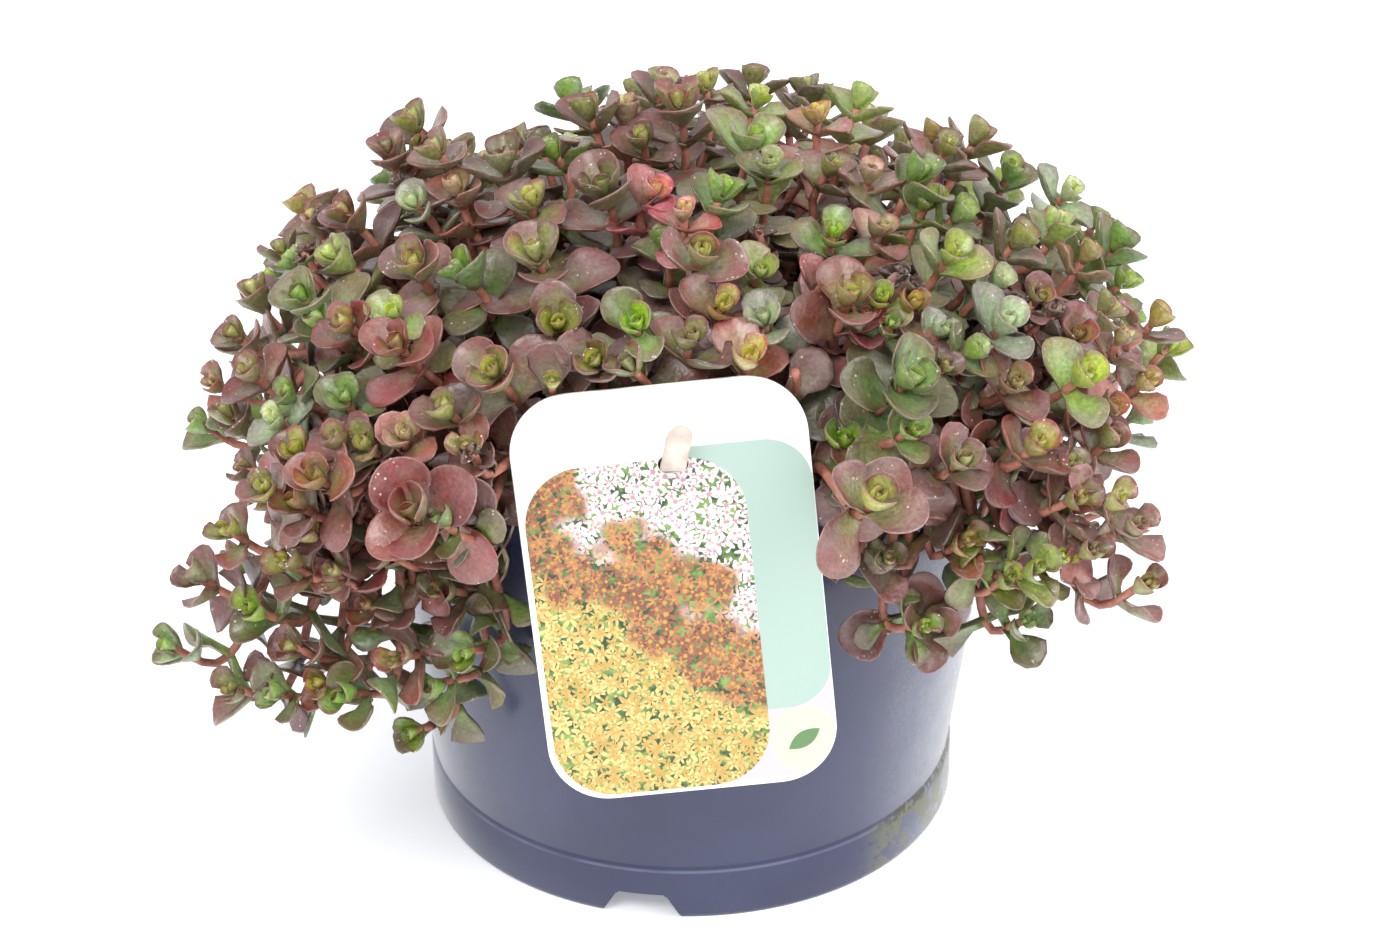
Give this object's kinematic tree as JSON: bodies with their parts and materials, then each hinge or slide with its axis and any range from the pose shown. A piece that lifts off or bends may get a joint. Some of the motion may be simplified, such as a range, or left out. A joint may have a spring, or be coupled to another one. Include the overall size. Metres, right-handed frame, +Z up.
{
  "type": "potted sedum makinoi",
  "caption": "Low mound of leafy sedum stems spreading over the rim of a plastic nursery pot, with a plain plant label on a hook.",
  "frame": {"origin": "on the pot's axis, at the level of the surface that it stands on", "axes": "+Z up along the pot, -Y to the front, where the label hangs, +X to the right of that front"},
  "size_m": [0.2024, 0.1957, 0.1492],
  "materials": {
    "pot_plastic": "satin moulded, slightly dusty",
    "potting_soil": "coarse, matt",
    "leaf_bronze": "fleshy, satin",
    "leaf_red": "fleshy, satin",
    "leaf_orange": "fleshy, satin",
    "leaf_green": "fleshy, satin",
    "leaf_lime": "fleshy, satin",
    "leaf_mint": "fleshy, bloomed",
    "label_card": "smooth printed",
    "hook_plastic": "translucent moulded"
  },
  "bodies": {
    "root": {"pot": "pot_plastic", "soil": "potting_soil", "label": "label_card", "label_hook": "hook_plastic", "shoot_01": "leaf_bronze", "shoot_02": "leaf_red", "shoot_03": "leaf_bronze", "shoot_04": "leaf_green", "shoot_05": "leaf_bronze", "shoot_06": "leaf_bronze", "shoot_07": "leaf_red", "shoot_08": "leaf_red", "shoot_09": "leaf_bronze", "shoot_10": "leaf_green", "shoot_11": "leaf_bronze", "shoot_12": "leaf_bronze", "shoot_13": "leaf_bronze", "shoot_14": "leaf_green", "shoot_15": "leaf_bronze", "shoot_16": "leaf_green", "shoot_17": "leaf_lime", "shoot_18": "leaf_green", "shoot_19": "leaf_bronze", "shoot_20": "leaf_lime", "shoot_21": "leaf_green", "shoot_22": "leaf_red", "shoot_23": "leaf_red", "shoot_24": "leaf_mint", "shoot_25": "leaf_green", "shoot_26": "leaf_lime", "shoot_27": "leaf_bronze", "shoot_28": "leaf_red", "shoot_29": "leaf_orange", "shoot_30": "leaf_green", "shoot_31": "leaf_green", "shoot_32": "leaf_green", "shoot_33": "leaf_green", "shoot_34": "leaf_green", "shoot_35": "leaf_bronze", "shoot_36": "leaf_lime", "shoot_37": "leaf_bronze", "shoot_38": "leaf_bronze", "shoot_39": "leaf_red", "shoot_40": "leaf_bronze", "shoot_41": "leaf_bronze", "shoot_42": "leaf_orange", "shoot_43": "leaf_bronze", "shoot_44": "leaf_green", "shoot_45": "leaf_bronze", "shoot_46": "leaf_red", "shoot_47": "leaf_lime", "shoot_48": "leaf_bronze", "shoot_49": "leaf_orange", "shoot_50": "leaf_bronze", "shoot_51": "leaf_green", "shoot_52": "leaf_bronze", "shoot_53": "leaf_red", "shoot_54": "leaf_lime", "shoot_55": "leaf_bronze", "shoot_56": "leaf_orange"}
  },
  "joints": []
}
